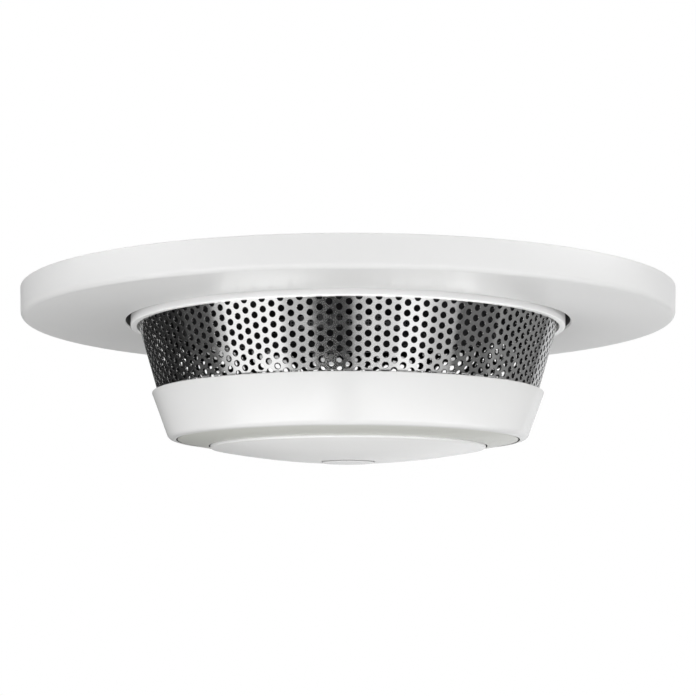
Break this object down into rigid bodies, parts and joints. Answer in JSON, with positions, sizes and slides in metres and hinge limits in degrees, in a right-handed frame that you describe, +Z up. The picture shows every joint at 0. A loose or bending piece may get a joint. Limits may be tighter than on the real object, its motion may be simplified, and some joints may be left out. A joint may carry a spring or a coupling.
{
  "type": "smoke detector",
  "caption": "Ceiling smoke detector: white flanged base, twist-off head with a conical perforated steel smoke screen, white cap, grey light ring and domed test button.",
  "frame": {"origin": "centre of the base's back face, where it meets the ceiling", "axes": "+Z points up into the ceiling along the detector's axis, +X points through the right mounting slot, and the detector hangs along -Z"},
  "size_m": [0.155, 0.155, 0.04],
  "materials": {
    "base_white": "satin moulded plastic",
    "terminal_brass": "stamped",
    "screw_steel": "zinc plated",
    "collar_white": "satin moulded plastic",
    "sensor_plate_black": "matt",
    "main_board_green": "solder resist",
    "chip_black": "moulded",
    "regulator_black": "moulded",
    "capacitor_aluminium": "drawn can",
    "connector_cream": "moulded",
    "blade_nickel": "nickel plated",
    "chamber_black": "matt",
    "emitter_epoxy": "clear epoxy, tinted",
    "receiver_epoxy": "daylight filtering epoxy",
    "labyrinth_black": "matt",
    "insect_mesh_steel": "fine woven mesh",
    "screen_stainless": "perforated satin stainless",
    "deck_black": "matt",
    "ribbon_grey": "flat flexible cable",
    "cap_white": "satin moulded plastic",
    "indicator_board_green": "solder resist",
    "socket_cream": "moulded",
    "lamp_white": "moulded lamp",
    "switch_black": "moulded",
    "light_ring_grey": "translucent diffuser",
    "plunger_grey": "moulded",
    "button_white": "satin moulded plastic",
    "lens_white": "polished disc"
  },
  "bodies": {
    "base": {"mounting_base": "base_white", "terminal_clip_1": "terminal_brass", "terminal_clip_2": "terminal_brass", "terminal_clip_3": "terminal_brass", "terminal_clip_4": "terminal_brass", "terminal_screw_1": "screw_steel", "terminal_screw_2": "screw_steel", "terminal_screw_3": "screw_steel", "terminal_screw_4": "screw_steel"},
    "head": {"head_chassis": "collar_white", "sensor_plate": "sensor_plate_black", "main_board": "main_board_green", "microcontroller": "chip_black", "voltage_regulator": "regulator_black", "storage_capacitor": "capacitor_aluminium", "ribbon_connector": "connector_cream", "contact_blade_1": "blade_nickel", "contact_blade_2": "blade_nickel", "contact_blade_3": "blade_nickel", "contact_blade_4": "blade_nickel", "chamber_cover": "chamber_black", "infrared_emitter": "emitter_epoxy", "light_receiver": "receiver_epoxy", "chamber_labyrinth": "labyrinth_black", "insect_mesh": "insect_mesh_steel", "perforated_screen": "screen_stainless", "cap_deck": "deck_black", "cap_screw_1": "screw_steel", "cap_screw_2": "screw_steel", "link_ribbon": "ribbon_grey", "cap_shell": "cap_white", "indicator_board": "indicator_board_green", "indicator_socket": "socket_cream", "indicator_lamp_1": "lamp_white", "indicator_lamp_2": "lamp_white", "indicator_lamp_3": "lamp_white", "indicator_lamp_4": "lamp_white", "indicator_screw_1": "screw_steel", "indicator_screw_2": "screw_steel", "indicator_screw_3": "screw_steel", "switch_body": "switch_black", "light_ring": "light_ring_grey"},
    "test_button": {"test_button": "button_white", "centre_lens": "lens_white"},
    "switch_plunger": {"switch_plunger": "plunger_grey"}
  },
  "joints": [
    {"name": "head_twist", "type": "hinge", "parent": "base", "child": "head", "pos_m": [0, 0, 0], "axis": [0, 0, -1], "range_deg": [0, 15]},
    {"name": "test_button_press", "type": "slide", "parent": "head", "child": "test_button", "axis": [0, 0, 1], "range_m": [0, 0.0008], "stiffness_N_per_m": 1000, "springref_m": -0.0005},
    {"name": "switch_plunger_slide", "type": "slide", "parent": "head", "child": "switch_plunger", "axis": [0, 0, 1], "range_m": [0, 0.0008]}
  ],
  "couplings": [
    {"joint": "switch_plunger_slide", "follows": "test_button_press", "ratio": 1}
  ]
}
